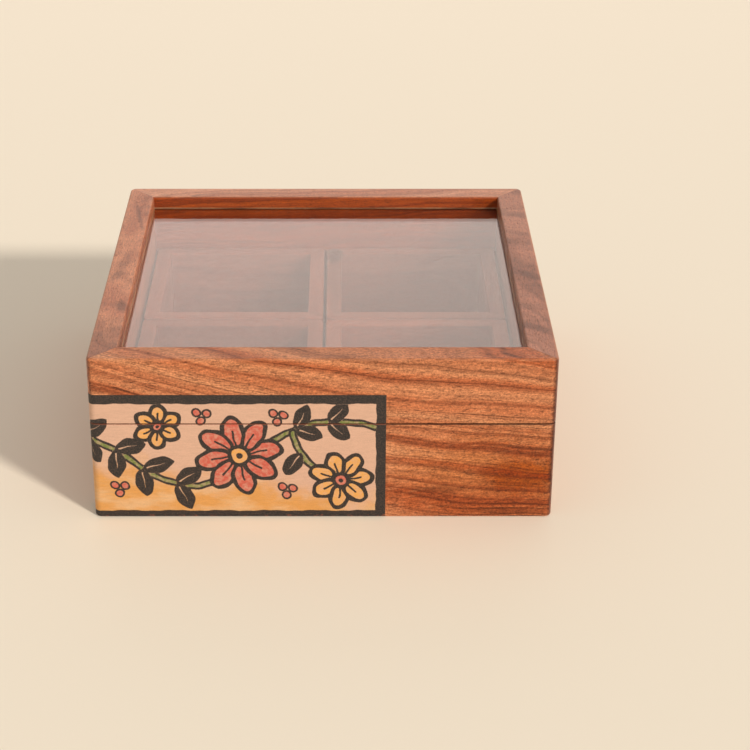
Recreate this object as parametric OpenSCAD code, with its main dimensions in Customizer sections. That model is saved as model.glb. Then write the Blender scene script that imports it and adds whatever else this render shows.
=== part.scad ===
// Wooden spice box: a mitred carcass sawn into base and lid, with a glass pane in the lid,
// two brass butt hinges let into the back, and four loose containers inside.
// Millimetres. Origin at the middle of the underside, +Z up, the front faces -Y.

/* [Box] */
// Outside width, left to right
box_w = 165; // [150:1:220]
// Outside depth, front to back
box_d = 165; // [150:1:220]
// Thickness of the side boards
wall_t = 10.5; // [10:0.5:14]
// Height of the base, up to the saw cut
base_h = 37.9; // [30:0.1:60]
// Height of the lid, down to the saw cut
lid_h = 25.3; // [20:0.1:40]
// Gap left by the saw between base and lid
seam_gap = 0.3; // [0.2:0.1:0.6]
// Radius of the four upright corners
corner_r = 2.5; // [1.5:0.5:6]
// Rounding of the long edges
edge_r = 0.9; // [0.4:0.1:1.6]
// Rounding of the edges at the saw cut
seam_edge_r = 0.3; // [0.2:0.1:0.6]

/* [Bottom] */
// Thickness of the bottom board
bottom_t = 4; // [3:0.5:6]
// Width of the rebate that holds the bottom board
rebate_w = 5; // [3:0.5:7]
// Play round the bottom board in its rebate
bottom_play = 0.2; // [0.1:0.1:0.5]

/* [Glass] */
// Thickness of the pane
glass_t = 2; // [1.5:0.5:4]
// Depth of the pane's upper face below the top of the lid
glass_recess = 5; // [4:0.5:8]
// Depth of the groove that holds the pane
groove_d = 4; // [3:0.5:6]
// Play of the pane in its groove
glass_play = 0.3; // [0.1:0.1:0.6]

/* [Containers] */
// Thickness of the containers' sides
cup_wall_t = 6; // [4:0.5:9]
// Thickness of the containers' bottoms
cup_bottom_t = 3; // [2:0.5:5]
// Width of the rebate that holds a container's bottom
cup_rebate_w = 3; // [2:0.5:3.5]
// Gap between neighbouring containers, and to the box
cup_gap = 1.1; // [0.5:0.1:2]
// How far the containers stand above the rim of the base
cup_proud = 1.6; // [0:0.1:4]
// Radius of the containers' upright corners
cup_corner_r = 1.5; // [1:0.5:3]
// Rounding of the containers' long edges
cup_edge_r = 0.5; // [0.3:0.1:0.9]

/* [Hinges] */
// Length of a hinge
hinge_len = 25; // [20:1:35]
// Distance from a side of the box to the middle of its hinge
hinge_from_side = 37.5; // [30:0.5:50]
// Width of a leaf, from the pin to its inner edge
leaf_w = 7; // [6.4:0.1:7.2]
// Thickness of a leaf
leaf_t = 0.9; // [0.7:0.1:1.2]
// Outside radius of the knuckles
knuckle_r = 1.9; // [1.7:0.1:2.4]
// How far the knuckles stay inside the back face
knuckle_inset = 0.1; // [0:0.1:0.4]
// Knuckles in a hinge, shared by its two leaves
knuckles = 5; // [3:2:7]
// Radius of the pin
pin_r = 0.75; // [0.5:0.05:0.9]
// Running clearance round the pin
pin_play = 0.05; // [0.02:0.01:0.1]
// Clearance between the knuckles, and round the hinge in the wood
hinge_play = 0.2; // [0.1:0.05:0.3]
// Angle at which the bevelled back edges stop the lid
open_angle = 100; // [92:1:110]

/* [Screws] */
// Radius of a screw's shank
screw_r = 0.9; // [0.7:0.1:1]
// Radius of a screw's countersunk head
screw_head_r = 1.8; // [1.4:0.1:2]
// Length of a screw with its head
screw_len = 9; // [6:0.5:12]
// Distance from each end of a leaf to its nearest screw
screw_from_end = 5; // [3:0.5:6]
// Clearance round a shank in its hole
screw_play = 0.08; // [0.05:0.01:0.15]
// Width and depth of the slot in a head
slot_w = 0.5; // [0.4:0.1:0.6]
// Length of the pointed end of a screw
screw_tip = 2; // [1:0.5:4]
// Extra depth of a screw hole past the point
hole_past = 0.5; // [0.2:0.1:1]

/* [Hidden] */
$fn = 48;
SIDES = ["front", "right", "back", "left"];
SPOTS = ["front_left", "front_right", "back_left", "back_right"];
HANDS = ["left", "right"];

wood = [0.66, 0.36, 0.2];
cup_wood = [0.55, 0.31, 0.19];
brass = [0.78, 0.62, 0.3];
glass = [0.85, 0.92, 0.9, 0.35];

over = 1;                                   // how far a cutter runs past a face
point_r = 0.1;                              // bluntness of a screw's point
box_h = base_h + seam_gap + lid_h;
lid_z = base_h + seam_gap;                  // underside of the lid
glass_z = box_h - glass_recess - glass_t;   // underside of the pane
axis_in = knuckle_r + knuckle_inset;        // from the back face in to the hinge pin
axis_z = base_h + seam_gap / 2;
axis_y = box_d / 2 - axis_in;
hinge_x = box_w / 2 - hinge_from_side;
knuckle_len = hinge_len / knuckles;
screw_x = hinge_len / 2 - screw_from_end;   // from the middle of a hinge
screw_in = (knuckle_r + hinge_play + leaf_w) / 2;   // from the pin, midway across the flat of a leaf
cup_w = (box_w - 2 * wall_t - 3 * cup_gap) / 2;
cup_d = (box_d - 2 * wall_t - 3 * cup_gap) / 2;
cup_h = base_h + cup_proud - bottom_t;

// Sides 0 and 2, front and back, run along the width w; sides 1 and 3 along the depth d
function run(side, w, d) = side % 2 == 0 ? w : d;
function reach(side, w, d) = side % 2 == 0 ? d / 2 : w / 2;

// Turns a board drawn along X, with its outer face at y = 0, to its side of a w by d frame
module to_side(side, w, d) {
    rotate([0, 0, 90 * side]) translate([0, -reach(side, w, d), 0]) children();
}

// Section of the waste outside a quarter round of radius r, in the corner at the origin
module quarter_waste(r) {
    difference() {
        translate([-over, -over]) square(over + r);
        translate([r, r]) circle(r);
    }
}

// Waste off the outer long edge of a board at height z; up is 1 for a top edge, 0 for a bottom edge
module outer_edge_waste(len, z, up, r, corner) {
    straight = len - 2 * corner;
    translate([0, 0, z]) mirror([0, 0, up]) {
        rotate([90, 0, 90]) linear_extrude(straight, center = true) quarter_waste(r);
        for (end = [0, 1])
            translate([(end - 0.5) * straight, corner, 0]) rotate([0, 0, 180 + 90 * end])
                rotate_extrude(angle = 90) translate([corner, 0]) mirror([1, 0]) quarter_waste(r);
    }
}

// Waste off the inner long edge of a board of thickness t at height z
module inner_edge_waste(len, t, z, up, r) {
    translate([0, t, z]) mirror([0, 0, up]) mirror([0, 1, 0])
        rotate([90, 0, 90]) linear_extrude(len, center = true) quarter_waste(r);
}

// A board with mitred ends and its half of each rounded upright corner
module mitred_board(len, t, z, h, corner) {
    translate([0, 0, z]) difference() {
        linear_extrude(h) polygon([[-len / 2, 0], [len / 2, 0], [len / 2 - t, t], [t - len / 2, t]]);
        for (end = [0, 1]) mirror([end, 0, 0])
            translate([-len / 2, 0, -over]) linear_extrude(h + 2 * over) quarter_waste(corner);
    }
}

// A long slot from the inner face of a board, from height z up
module inner_slot(len, t, depth, z, h) {
    translate([-len / 2, t - depth, z]) cube([len, depth + over, h]);
}

// Bevel along the back edges at the saw cut, from the pin's axis out to the back face.
// Both bevels lie flat on each other when the lid is fully open.
module back_bevel() {
    out = axis_in + over;
    rise = out * tan(open_angle / 2);
    translate([0, axis_y, axis_z]) rotate([90, 0, 90]) linear_extrude(box_w + 2 * over, center = true)
        polygon([[0, 0], [out, -rise], [out, rise]]);
}

// Puts a hinge part drawn about the pin at the origin on each hinge
module at_hinge(hand) {
    translate([(hand == 0 ? -1 : 1) * hinge_x, axis_y, axis_z]) children();
}

// The wood taken away for one hinge: a recess for each leaf, room for the knuckles, screw holes
module hinge_recess() {
    half = seam_gap / 2 + leaf_t;
    translate([-hinge_len / 2 - hinge_play, -leaf_w - hinge_play, -half])
        cube([hinge_len + 2 * hinge_play, leaf_w + hinge_play + axis_in + over, 2 * half]);
    rotate([0, 90, 0]) cylinder(h = hinge_len + 2 * hinge_play, r = knuckle_r + hinge_play, center = true);
    for (side = [-1, 1]) translate([side * screw_x, -screw_in, 0])
        cylinder(h = seam_gap + 2 * (screw_len + hole_past), r = screw_r + screw_play, center = true);
}

module hinge_recesses() {
    for (hand = [0, 1]) at_hinge(hand) hinge_recess();
}

// Base board: rebated for the bottom, the long edges of its rim eased
module base_board(side) {
    len = run(side, box_w, box_d);
    color(wood) difference() {
        to_side(side, box_w, box_d) difference() {
            mitred_board(len, wall_t, 0, base_h, corner_r);
            inner_slot(len, wall_t, rebate_w, -over, bottom_t + over);
            outer_edge_waste(len, 0, 0, edge_r, corner_r);
            outer_edge_waste(len, base_h, 1, seam_edge_r, corner_r);
            inner_edge_waste(len, wall_t, base_h, 1, seam_edge_r);
        }
        if (side != 0) back_bevel();
        if (side == 2) hinge_recesses();
    }
}

module base_bottom() {
    w = box_w - 2 * (wall_t - rebate_w + bottom_play);
    d = box_d - 2 * (wall_t - rebate_w + bottom_play);
    color(cup_wood) translate([-w / 2, -d / 2, 0]) cube([w, d, bottom_t]);
}

// Lid rail: grooved for the pane, with all four long edges eased
module lid_rail(side) {
    len = run(side, box_w, box_d);
    color(wood) difference() {
        to_side(side, box_w, box_d) difference() {
            mitred_board(len, wall_t, lid_z, lid_h, corner_r);
            inner_slot(len, wall_t, groove_d, glass_z, glass_t + glass_play);
            outer_edge_waste(len, lid_z, 0, seam_edge_r, corner_r);
            inner_edge_waste(len, wall_t, lid_z, 0, seam_edge_r);
            outer_edge_waste(len, box_h, 1, edge_r, corner_r);
            inner_edge_waste(len, wall_t, box_h, 1, edge_r);
        }
        if (side != 0) back_bevel();
        if (side == 2) hinge_recesses();
    }
}

module lid_glass() {
    w = box_w - 2 * (wall_t - groove_d + glass_play);
    d = box_d - 2 * (wall_t - groove_d + glass_play);
    color(glass) translate([-w / 2, -d / 2, glass_z]) cube([w, d, glass_t]);
}

// Knuckles of one leaf: every second one along the pin, starting with number first
module knuckle_row(first, r, play) {
    for (k = [first : 2 : knuckles - 1])
        translate([-hinge_len / 2 + k * knuckle_len + play, 0, 0]) rotate([0, 90, 0])
            cylinder(h = knuckle_len - 2 * play, r = r);
}

// A hinge leaf below the pin, with its own knuckles, cut back for the other leaf's
module hinge_leaf(first) {
    top = -seam_gap / 2;
    difference() {
        union() {
            translate([-hinge_len / 2, -leaf_w, top - leaf_t]) cube([hinge_len, leaf_w, leaf_t]);
            knuckle_row(first, knuckle_r, hinge_play / 2);
        }
        knuckle_row(1 - first, knuckle_r + hinge_play, -hinge_play / 2);
        rotate([0, 90, 0]) cylinder(h = hinge_len + 2 * over, r = pin_r + pin_play, center = true);
        for (side = [-1, 1]) translate([side * screw_x, -screw_in, top - leaf_t]) {
            translate([0, 0, -over]) cylinder(h = leaf_t + over, r = screw_r + screw_play);
            cylinder(h = leaf_t, r1 = screw_r + screw_play, r2 = screw_head_r + screw_play);
            translate([0, 0, leaf_t]) cylinder(h = over, r = screw_head_r + screw_play);
        }
    }
}

module base_leaf(hand) {
    color(brass) at_hinge(hand) hinge_leaf(0);
}

module lid_leaf(hand) {
    color(brass) at_hinge(hand) mirror([0, 0, 1]) hinge_leaf(1);
}

module hinge_pin(hand) {
    color(brass) at_hinge(hand) rotate([0, 90, 0]) cylinder(h = hinge_len, r = pin_r, center = true);
}

// Countersunk slotted screw, head up, with the top of its head at the origin
module wood_screw() {
    difference() {
        mirror([0, 0, 1]) union() {
            cylinder(h = leaf_t, r1 = screw_head_r, r2 = screw_r);
            cylinder(h = screw_len - screw_tip, r = screw_r);
            translate([0, 0, screw_len - screw_tip]) cylinder(h = screw_tip, r1 = screw_r, r2 = point_r);
        }
        cube([slot_w, 2 * screw_head_r + over, 2 * slot_w], center = true);
    }
}

module hinge_screws(up) {
    color(brass) for (hand = [0, 1], side = [-1, 1])
        at_hinge(hand) mirror([0, 0, up]) translate([side * screw_x, -screw_in, -seam_gap / 2])
            wood_screw();
}

// Moves a container drawn about its own middle to its place on the bottom board
module at_spot(spot) {
    x = (spot % 2 == 0 ? -1 : 1) * (cup_w + cup_gap) / 2;
    y = (spot < 2 ? -1 : 1) * (cup_d + cup_gap) / 2;
    translate([x, y, bottom_t]) children();
}

module container_wall(spot, side) {
    len = run(side, cup_w, cup_d);
    color(cup_wood) at_spot(spot) to_side(side, cup_w, cup_d) difference() {
        mitred_board(len, cup_wall_t, 0, cup_h, cup_corner_r);
        inner_slot(len, cup_wall_t, cup_rebate_w, -over, cup_bottom_t + over);
        outer_edge_waste(len, cup_h, 1, cup_edge_r, cup_corner_r);
        inner_edge_waste(len, cup_wall_t, cup_h, 1, cup_edge_r);
    }
}

module container_bottom(spot) {
    w = cup_w - 2 * (cup_wall_t - cup_rebate_w + bottom_play);
    d = cup_d - 2 * (cup_wall_t - cup_rebate_w + bottom_play);
    color(cup_wood) at_spot(spot) translate([-w / 2, -d / 2, 0]) cube([w, d, cup_bottom_t]);
}

for (i = [0 : 3]) {
    base_board(i);
    lid_rail(i);
}
base_bottom();
lid_glass();
for (hand = [0, 1]) {
    base_leaf(hand);
    lid_leaf(hand);
    hinge_pin(hand);
}
hinge_screws(0);  // hinge_base_screws
hinge_screws(1);  // hinge_lid_screws
for (spot = [0 : 3]) {
    for (side = [0 : 3])
        container_wall(spot, side);
    container_bottom(spot);
}
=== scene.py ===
import math
import bpy
import numpy as np
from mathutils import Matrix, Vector


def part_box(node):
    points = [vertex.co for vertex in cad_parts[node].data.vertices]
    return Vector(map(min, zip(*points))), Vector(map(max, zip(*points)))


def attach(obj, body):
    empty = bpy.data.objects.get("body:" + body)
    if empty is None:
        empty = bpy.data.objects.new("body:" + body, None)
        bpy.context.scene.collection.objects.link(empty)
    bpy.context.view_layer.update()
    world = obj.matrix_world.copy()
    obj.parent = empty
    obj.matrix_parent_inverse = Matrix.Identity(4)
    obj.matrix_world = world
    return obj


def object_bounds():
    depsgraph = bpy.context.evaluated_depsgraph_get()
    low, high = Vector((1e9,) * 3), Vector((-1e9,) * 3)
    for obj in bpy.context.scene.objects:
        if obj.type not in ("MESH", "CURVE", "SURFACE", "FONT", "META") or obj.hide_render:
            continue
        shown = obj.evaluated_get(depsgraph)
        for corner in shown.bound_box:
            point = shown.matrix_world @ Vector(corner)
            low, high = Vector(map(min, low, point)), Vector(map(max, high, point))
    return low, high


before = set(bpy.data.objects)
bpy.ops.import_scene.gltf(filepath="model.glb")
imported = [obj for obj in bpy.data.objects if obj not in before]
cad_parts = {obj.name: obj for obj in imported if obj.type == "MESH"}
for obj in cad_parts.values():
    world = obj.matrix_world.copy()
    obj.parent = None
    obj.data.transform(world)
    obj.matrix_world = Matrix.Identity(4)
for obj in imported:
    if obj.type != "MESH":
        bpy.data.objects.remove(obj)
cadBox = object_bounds()
boxWidth = cadBox[1].x - cadBox[0].x
boxDepth = cadBox[1].y - cadBox[0].y
boxHeight = cadBox[1].z
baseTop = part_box("base_front_board")[1].z
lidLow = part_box("lid_front_rail")[0].z
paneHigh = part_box("lid_glass")[1]
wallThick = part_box("lid_front_rail")[1].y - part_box("lid_front_rail")[0].y
millimetre = 0.001
print("frame loaded:", len(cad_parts), "nodes")


# Shader helpers
# An input takes a value, or the output socket that it is to read.
def feed(tree, socket, value):
    if isinstance(value, bpy.types.NodeSocket):
        tree.links.new(value, socket)
    else:
        socket.default_value = value


# One node of a kind. Its settings are made before its inputs are fed.
def put(tree, kind, inputs=None, **settings):
    node = tree.nodes.new("ShaderNode" + kind)
    for name, value in settings.items():
        setattr(node, name, value)
    for key, value in (inputs or {}).items():
        feed(tree, node.inputs[key], value)
    return node


# Arithmetic on numbers: the operation's name, then what it works on.
def calc(tree, operation, *values):
    return put(tree, "Math", dict(enumerate(values)), operation=operation).outputs[0]


# Arithmetic on vectors. A length comes out as a number, all else as a vector.
def calcVector(tree, operation, *values):
    keys = (0, "Scale") if operation == "SCALE" else range(len(values))
    node = put(tree, "VectorMath", dict(zip(keys, values)), operation=operation)
    return node.outputs["Value" if operation == "LENGTH" else "Vector"]


# A number times a rate, plus a start.
def ramp(tree, value, rate, start):
    return calc(tree, "ADD", calc(tree, "MULTIPLY", value, rate), start)


# How far a noise is from its middle, 0.5, times an amount.
def sway(tree, value, amount):
    return calc(tree, "MULTIPLY", calc(tree, "SUBTRACT", value, 0.5), amount)


# A value taken from the range low..high to 0..1 along a smooth S-curve.
def smoothRange(tree, value, low, high):
    inputs = {"Value": value, "From Min": low, "From Max": high}
    return put(tree, "MapRange", inputs, interpolation_type="SMOOTHSTEP").outputs[0]


# The other way round: 1 up to low, then down to 0 at high.
def fadeOut(tree, value, low, high):
    return calc(tree, "SUBTRACT", 1.0, smoothRange(tree, value, low, high))


# Noise round 0.5 over a place times a scale, in swings per millimetre. The scale is one number, or one
# for each direction, and the noise is drawn out along a direction whose number is low.
def noise(tree, place, scale, detail, roughness, distortion=0.0):
    operation = "MULTIPLY" if isinstance(scale, tuple) else "SCALE"
    inputs = {"Vector": calcVector(tree, operation, place, scale), "Scale": 1.0, "Detail": detail,
              "Roughness": roughness, "Distortion": distortion}
    return put(tree, "TexNoise", inputs).outputs["Fac"]


# Noise round 0.5 over one number.
def noiseLine(tree, value, detail, roughness):
    inputs = {"W": value, "Scale": 1.0, "Detail": detail, "Roughness": roughness}
    return put(tree, "TexNoise", inputs, noise_dimensions="1D").outputs["Fac"]


# From colour a at factor 0 to colour b at factor 1.
def mixColor(tree, factor, a, b):
    return put(tree, "Mix", {0: factor, 6: a, 7: b}, data_type="RGBA", blend_type="MIX").outputs[2]


# One colour times another, part by part.
def tinted(tree, color, tint):
    return put(tree, "Mix", {0: 1.0, 6: color, 7: tint}, data_type="RGBA", blend_type="MULTIPLY").outputs[2]


# A colour with each part times one number.
def lifted(tree, color, lift):
    return tinted(tree, color, put(tree, "CombineColor", {0: lift, 1: lift, 2: lift}).outputs[0])


# A colour as seen on a screen, 0..255, taken to the shader's linear scale.
def tone(red, green, blue):
    part = np.array([red, green, blue]) / 255
    linear = np.where(part <= 0.04045, part / 12.92, ((part + 0.055) / 1.055) ** 2.4)
    return (*linear.tolist(), 1.0)


# A group with named sockets: kinds are Float, Vector or Color, each with its default.
def newGroup(name, inputs, outputs):
    tree = bpy.data.node_groups.new(name, "ShaderNodeTree")
    for socketName, (kind, default) in inputs.items():
        socket = tree.interface.new_socket(socketName, in_out="INPUT", socket_type="NodeSocket" + kind)
        if default is not None:
            socket.default_value = default
    for socketName, kind in outputs.items():
        tree.interface.new_socket(socketName, in_out="OUTPUT", socket_type="NodeSocket" + kind)
    return tree, tree.nodes.new("NodeGroupInput").outputs, tree.nodes.new("NodeGroupOutput").inputs


# A group put into a material or another group. Gives its outputs.
def useGroup(tree, group, inputs):
    node = tree.nodes.new("ShaderNodeGroup")
    node.node_tree = group
    for key, value in inputs.items():
        feed(tree, node.inputs[key], value)
    return node.outputs


# A position turned in the plane of the board's face, degrees about Y.
def turned(tree, vector, angle):
    inputs = {"Vector": vector, "Rotation": (0.0, math.radians(angle), 0.0)}
    return put(tree, "Mapping", inputs, vector_type="POINT").outputs[0]


# Position on the piece in millimetres, turned about Z and then moved.
def position(tree, turn=0.0, move=(0.0, 0.0, 0.0)):
    coords = put(tree, "TexCoord").outputs["Object"]
    inputs = {"Vector": coords, "Location": move, "Rotation": (0.0, 0.0, math.radians(turn)),
              "Scale": (1000.0, 1000.0, 1000.0)}
    return put(tree, "Mapping", inputs, vector_type="POINT").outputs[0]


# An empty material, with its node tree.
def newMaterial(name):
    material = bpy.data.materials.new(name)
    material.use_nodes = True
    material.node_tree.nodes.clear()
    return material, material.node_tree


# The material's one shader. A height makes a bump, given as its strength and its distance in metres.
def finishMaterial(tree, values, height=None, bump=None):
    if height is not None:
        inputs = {"Height": height, "Strength": bump[0], "Distance": bump[1]}
        values = {**values, "Normal": put(tree, "Bump", inputs).outputs[0]}
    shader = put(tree, "BsdfPrincipled", values)
    put(tree, "OutputMaterial", {"Surface": shader.outputs[0]})


# Sawn wood, with the grain along X in millimetres. The depth is the distance from a pith line along X,
# bent by a slope, a skew and a bow, and made to wander by noise. Broad tones, finer bands and thin dark
# lines are each a noise over that one depth. Fibres, grit, pores, wisps and curl are noise over the
# place. A noise over the depth is its detail and roughness, and one over the place is its scale, detail,
# roughness and, for the curl, distortion. A range is where a noise fades in.
woodGrain = {
    "driftScale": 0.035, "driftDetail": 2.5, "driftRoughness": 0.45,
    "broad": (1.5, 0.5), "broadRange": (0.32, 0.68),
    "bandRate": 3.1, "bandStart": 17.0, "band": (5.0, 0.72), "bandRange": (0.42, 0.76),
    "lineRate": 1.7, "lineStart": 53.0, "line": (2.0, 0.55), "lineMiddle": 0.53, "lineWidth": 0.035,
    "fade": ((0.014, 0.11, 0.11), 2.5, 0.5), "fadeRange": (0.38, 0.62), "breakRange": (0.36, 0.54),
    "fibre": ((0.24, 1.7, 1.7), 4.0, 0.8), "grit": ((1.3, 1.5, 1.5), 2.0, 0.8),
    "pore": ((0.5, 2.2, 2.2), 2.0, 0.5), "poreRange": (0.55, 0.72), "poreShare": 0.6,
    "wispTurn": 11.0, "wisp": ((0.09, 0.9, 0.9), 4.0, 0.65), "wispRange": (0.52, 0.72), "wispShare": 0.6,
    "curl": ((0.22, 0.06, 0.06), 2.0, 0.5, 0.6),
    "fibreHeight": 0.4, "roughness": 0.4, "fibreRoughness": 0.25, "poreRoughness": 0.25,
}


def makeWoodGroup():
    tree, given, result = newGroup("figuredWood", {
        "Position": ("Vector", None), "Pale": ("Color", tone(211, 146, 104)),
        "Middle": ("Color", tone(180, 94, 52)), "Dark": ("Color", tone(116, 48, 21)),
        "Streak": ("Color", tone(56, 21, 8)), "Band Width": ("Float", 7.0), "Wander": ("Float", 6.0),
        "Wander Length": ("Float", 60.0), "Slope": ("Float", 0.0), "Skew": ("Float", 0.0),
        "Bow": ("Float", 0.0), "Bands": ("Float", 0.7), "Streaks": ("Float", 0.7),
        "Pores": ("Float", 0.6), "Curl": ("Float", 0.2), "Fibre": ("Float", 1.6), "Grit": ("Float", 0.8),
    }, {"Color": "Color", "Roughness": "Float", "Height": "Float"})
    grain = woodGrain
    place = given["Position"]
    along, across, up = put(tree, "SeparateXYZ", {0: place}).outputs
    bow = calc(tree, "MULTIPLY", given["Bow"], calc(tree, "MULTIPLY", along, along))
    rise = calc(tree, "ADD", calc(tree, "MULTIPLY", given["Slope"], along), bow)
    skewed = calc(tree, "ADD", across, calc(tree, "MULTIPLY", given["Skew"], along))
    slow = put(tree, "CombineXYZ", {0: calc(tree, "DIVIDE", along, given["Wander Length"]),
                                    1: calc(tree, "MULTIPLY", across, grain["driftScale"]),
                                    2: calc(tree, "MULTIPLY", up, grain["driftScale"])}).outputs[0]
    drift = put(tree, "TexNoise", {"Vector": slow, "Scale": 1.0, "Detail": grain["driftDetail"],
                                   "Roughness": grain["driftRoughness"]})
    push = calcVector(tree, "SUBTRACT", drift.outputs["Color"], (0.5, 0.5, 0.5))
    push = calcVector(tree, "SCALE", calcVector(tree, "MULTIPLY", push, (0.0, 1.0, 1.0)), given["Wander"])
    bent = put(tree, "CombineXYZ", {0: 0.0, 1: skewed, 2: calc(tree, "ADD", up, rise)}).outputs[0]
    fromPith = calcVector(tree, "LENGTH", calcVector(tree, "ADD", bent, push))
    depth = calc(tree, "DIVIDE", fromPith, given["Band Width"])
    broad = smoothRange(tree, noiseLine(tree, depth, *grain["broad"]), *grain["broadRange"])
    bands = noiseLine(tree, ramp(tree, depth, grain["bandRate"], grain["bandStart"]), *grain["band"])
    bands = calc(tree, "MULTIPLY", smoothRange(tree, bands, *grain["bandRange"]), given["Bands"])
    ridge = noiseLine(tree, ramp(tree, depth, grain["lineRate"], grain["lineStart"]), *grain["line"])
    ridge = calc(tree, "ABSOLUTE", calc(tree, "SUBTRACT", ridge, grain["lineMiddle"]))
    lines = fadeOut(tree, ridge, 0.0, grain["lineWidth"])
    fade = smoothRange(tree, noise(tree, place, *grain["fade"]), *grain["fadeRange"])
    lines = calc(tree, "MULTIPLY", calc(tree, "MULTIPLY", lines, fade), given["Streaks"])
    fibre = noise(tree, place, *grain["fibre"])
    lines = calc(tree, "MULTIPLY", lines, smoothRange(tree, fibre, *grain["breakRange"]))
    grit = noise(tree, place, *grain["grit"])
    pore = smoothRange(tree, noise(tree, place, *grain["pore"]), *grain["poreRange"])
    pore = calc(tree, "MULTIPLY", pore, given["Pores"])
    wisp = noise(tree, turned(tree, place, grain["wispTurn"]), *grain["wisp"])
    wisp = calc(tree, "MULTIPLY", smoothRange(tree, wisp, *grain["wispRange"]), grain["wispShare"])
    curl = noise(tree, place, *grain["curl"])
    color = mixColor(tree, broad, given["Middle"], given["Pale"])
    color = mixColor(tree, wisp, color, given["Pale"])
    color = mixColor(tree, bands, color, given["Dark"])
    color = mixColor(tree, lines, color, given["Streak"])
    lift = calc(tree, "ADD", sway(tree, fibre, given["Fibre"]), 1.0)
    lift = calc(tree, "ADD", lift, sway(tree, grit, given["Grit"]))
    lift = calc(tree, "ADD", lift, sway(tree, curl, given["Curl"]))
    color = lifted(tree, color, lift)
    color = mixColor(tree, calc(tree, "MULTIPLY", pore, grain["poreShare"]), color, given["Streak"])
    height = calc(tree, "SUBTRACT", calc(tree, "MULTIPLY", fibre, grain["fibreHeight"]), pore)
    rough = calc(tree, "ADD", sway(tree, fibre, grain["fibreRoughness"]), grain["roughness"])
    rough = calc(tree, "ADD", rough, calc(tree, "MULTIPLY", pore, grain["poreRoughness"]))
    tree.links.new(color, result["Color"])
    tree.links.new(rough, result["Roughness"])
    tree.links.new(height, result["Height"])
    return tree


# Masks on the case, for rubbing and painted light. Edge is 1 on its outer arrises and 0 a little way in,
# from the second smallest of the distances to the three pairs of outer faces; it carries rubbed wood and a
# painted highlight. Joint is 1 on the mitres, where |x| and |y| come equally near their faces. Seam is 1
# in the saw cut: painted shade in the gap between lid and base, with dust gathered there. Inner Face is 1
# where the board's outer face is a whole wall away. Lengths are millimetres.
caseRubAndPaintedLight = {
    "patch": (0.12, 5.0, 0.7), "patchRange": (0.3, 0.75), "edgeLeast": 0.25, "jointLeast": 0.5,
    "seamHalf": 0.25, "seamDepth": (0.3, 1.4), "innerStart": 0.6, "innerEnd": 0.1,
}


def makeWearAndPaintedLightGroup():
    tree, given, result = newGroup("caseWearAndPaintedLight", {
        "Position": ("Vector", None), "Half Width": ("Float", 82.5), "Half Depth": ("Float", 82.5),
        "Height": ("Float", 63.5), "Seam Height": ("Float", 38.0), "Edge Width": ("Float", 1.3),
        "Joint Width": ("Float", 0.16), "Seam Width": ("Float", 0.5), "Wall": ("Float", 10.5),
    }, {"Edge": "Float", "Joint": "Float", "Seam": "Float", "Inner Face": "Float"})
    x, y, z = put(tree, "SeparateXYZ", {0: given["Position"]}).outputs
    fromSide = calc(tree, "SUBTRACT", given["Half Width"], calc(tree, "ABSOLUTE", x))
    fromFront = calc(tree, "SUBTRACT", given["Half Depth"], calc(tree, "ABSOLUTE", y))
    fromTop = calc(tree, "MINIMUM", z, calc(tree, "SUBTRACT", given["Height"], z))
    nearer = calc(tree, "MINIMUM", fromSide, fromFront)
    farther = calc(tree, "MAXIMUM", fromSide, fromFront)
    second = calc(tree, "MAXIMUM", nearer, calc(tree, "MINIMUM", farther, fromTop))
    patch = noise(tree, given["Position"], *caseRubAndPaintedLight["patch"])
    # The edge mask: rubbed wood, and a painted highlight on the arrises.
    reach = calc(tree, "MULTIPLY", given["Edge Width"], smoothRange(tree, patch, *caseRubAndPaintedLight["patchRange"]))
    edge = fadeOut(tree, second, 0.0, calc(tree, "ADD", reach, caseRubAndPaintedLight["edgeLeast"]))
    gap = calc(tree, "ABSOLUTE", calc(tree, "SUBTRACT", fromSide, fromFront))
    width = calc(tree, "MULTIPLY", given["Joint Width"], calc(tree, "ADD", patch, caseRubAndPaintedLight["jointLeast"]))
    joint = fadeOut(tree, gap, 0.0, width)
    # Painted shade in the saw cut, with dust gathered there.
    fromSeam = calc(tree, "ABSOLUTE", calc(tree, "SUBTRACT", z, given["Seam Height"]))
    seam = fadeOut(tree, fromSeam, caseRubAndPaintedLight["seamHalf"], given["Seam Width"])
    seam = calc(tree, "MULTIPLY", seam, fadeOut(tree, nearer, *caseRubAndPaintedLight["seamDepth"]))
    inner = smoothRange(tree, nearer, calc(tree, "SUBTRACT", given["Wall"], caseRubAndPaintedLight["innerStart"]),
                        calc(tree, "SUBTRACT", given["Wall"], caseRubAndPaintedLight["innerEnd"]))
    tree.links.new(inner, result["Inner Face"])
    tree.links.new(edge, result["Edge"])
    tree.links.new(joint, result["Joint"])
    tree.links.new(seam, result["Seam"])
    return tree


# One soft patch, such as a stained spot, a glow or a patch of painted shade: 1 inside an ellipsoid,
# fading out with a ragged border. The distance from its centre is in shares of its reach.
patchShape = {"torn": (0.3, 5.0, 0.7), "fade": (0.35, 1.0)}


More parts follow.
